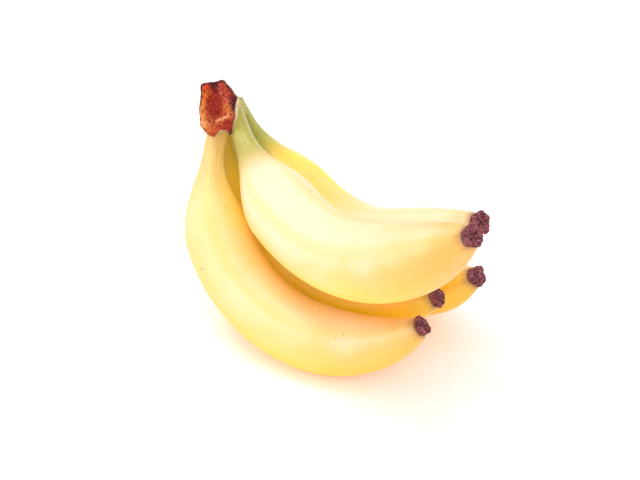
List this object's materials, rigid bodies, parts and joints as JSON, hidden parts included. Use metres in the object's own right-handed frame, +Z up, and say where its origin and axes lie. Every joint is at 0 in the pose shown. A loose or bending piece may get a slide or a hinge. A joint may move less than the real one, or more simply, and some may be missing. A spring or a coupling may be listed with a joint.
{
  "type": "bunch of bananas",
  "caption": "Bunch of ripe bananas joined at a cut crown, lying on its convex side with the finger tips curving up.",
  "frame": {"origin": "bottom centre of the whole bunch, on the surface it lies on", "axes": "+Z up, +X from the crown towards the finger tips, +Y across the bunch from the front fingers to the back ones"},
  "size_m": [0.1977, 0.1101, 0.1187],
  "materials": {
    "peel": "satin waxy fruit peel, green at the necks",
    "crown_tissue": "rough, fibrous, oxidised cut face",
    "dried_flower": "rough, withered, lobed"
  },
  "bodies": {
    "root": {"crown": "crown_tissue", "banana_lower_front": "peel", "banana_lower_middle": "peel", "banana_lower_back": "peel", "banana_upper_front": "peel", "banana_upper_back": "peel", "flower_end_lower_front": "dried_flower", "flower_end_lower_middle": "dried_flower", "flower_end_lower_back": "dried_flower", "flower_end_upper_front": "dried_flower", "flower_end_upper_back": "dried_flower"}
  },
  "joints": []
}
